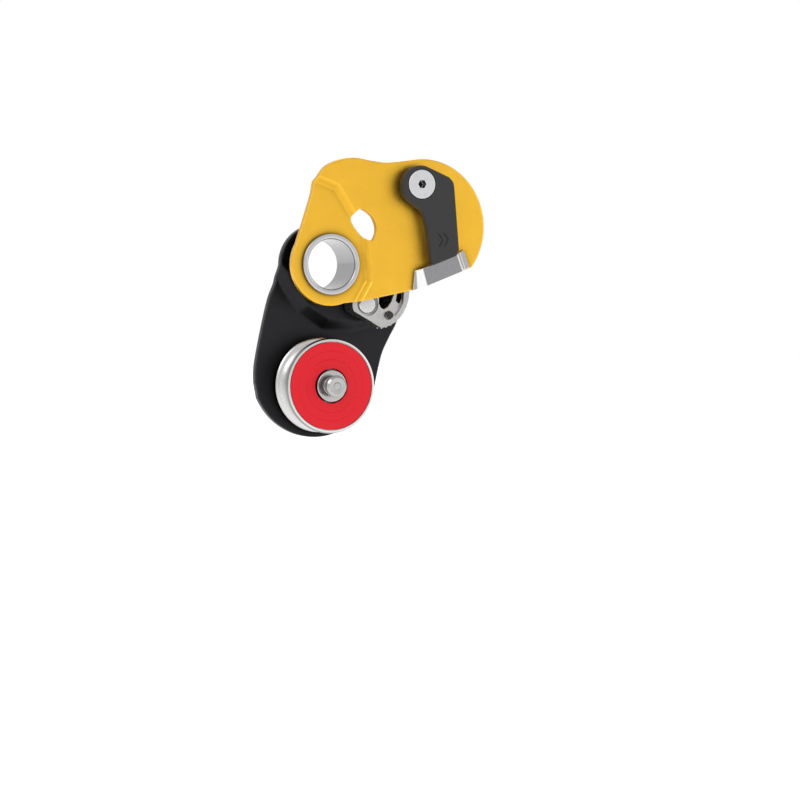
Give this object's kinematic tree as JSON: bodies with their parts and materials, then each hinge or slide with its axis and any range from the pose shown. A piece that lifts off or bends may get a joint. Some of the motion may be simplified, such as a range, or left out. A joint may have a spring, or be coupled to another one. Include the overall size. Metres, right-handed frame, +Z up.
{
  "type": "rope pulley",
  "caption": "Progress-capture rope pulley: a ball-bearing sheave and a toothed locking cam between a fixed plate and a swinging plate with a lever catch.",
  "frame": {"origin": "centre of the connector eye, halfway between the sheave's two faces", "axes": "+X to the right seen from the front, +Y from the front plate to the fixed rear plate, +Z up, away from the sheave"},
  "size_m": [0.0819, 0.028, 0.0994],
  "materials": {
    "gold_anodised": "satin gold anodised aluminium",
    "black_anodised": "satin black anodised aluminium",
    "polished_steel": "smooth bright stainless steel",
    "bearing_steel": "ground bearing and spring steel",
    "turned_aluminium": "turned bare aluminium",
    "red_disc": "satin red",
    "black_plastic": "fine-grained moulded black plastic",
    "pale_nylon": "pale nylon"
  },
  "bodies": {
    "frame": {"fixed_side_plate": "black_anodised", "eye_sleeve": "polished_steel", "swing_washer": "black_plastic", "plate_spacer": "black_anodised", "sheave_axle": "polished_steel", "axle_rear_washer": "polished_steel", "sheave_rear_spacer": "turned_aluminium", "bearing_inner_ring": "bearing_steel", "cam_axle": "polished_steel", "cam_spring": "bearing_steel"},
    "sheave_body": {"sheave": "turned_aluminium", "indicator_disc": "red_disc", "bearing_outer_ring": "bearing_steel", "bearing_front_shield": "bearing_steel", "bearing_rear_shield": "bearing_steel", "bearing_circlip": "bearing_steel"},
    "cage_body": {"bearing_cage": "bearing_steel", "bearing_ball_1": "polished_steel", "bearing_ball_2": "polished_steel", "bearing_ball_3": "polished_steel", "bearing_ball_4": "polished_steel", "bearing_ball_5": "polished_steel", "bearing_ball_6": "polished_steel", "bearing_ball_7": "polished_steel", "bearing_ball_8": "polished_steel"},
    "cam_body": {"cam": "polished_steel", "cam_bush": "pale_nylon"},
    "button_body": {"cam_lock_button": "black_anodised", "cam_lock_spring": "bearing_steel"},
    "plate_body": {"moving_side_plate": "gold_anodised", "slot_bridge": "polished_steel", "bridge_rivet_upper": "polished_steel", "bridge_rivet_lower": "polished_steel", "lever_post": "polished_steel", "lever_screw": "turned_aluminium", "lever_spring": "bearing_steel"},
    "lever_body": {"lever_latch_plate": "polished_steel", "lever_cover": "black_plastic"}
  },
  "joints": [
    {"name": "plate_swing", "type": "hinge", "parent": "frame", "child": "plate_body", "pos_m": [0, 0, 0], "axis": [0, -1, 0], "range_deg": [-110.6, 30]},
    {"name": "sheave_spin", "type": "hinge", "parent": "frame", "child": "sheave_body", "pos_m": [0.0009, 0, -0.043], "axis": [0, -1, 0], "continuous": true},
    {"name": "cage_orbit", "type": "hinge", "parent": "frame", "child": "cage_body", "pos_m": [0.0009, 0, -0.043], "axis": [0, -1, 0], "continuous": true},
    {"name": "cam_pivot", "type": "hinge", "parent": "frame", "child": "cam_body", "pos_m": [0.0157, 0, -0.0142], "axis": [0, -1, 0], "range_deg": [-100, 0]},
    {"name": "cam_lock", "type": "slide", "parent": "cam_body", "child": "button_body", "axis": [0, 1, 0], "range_m": [0, 0.0012], "deforming": ["cam_lock_spring"]},
    {"name": "lever_press", "type": "hinge", "parent": "plate_body", "child": "lever_body", "pos_m": [0.032, 0, 0.0284], "axis": [0, -1, 0], "range_deg": [0, 16]}
  ],
  "couplings": [
    {"joint": "cage_orbit", "follows": "sheave_spin", "ratio": 0.59}
  ]
}
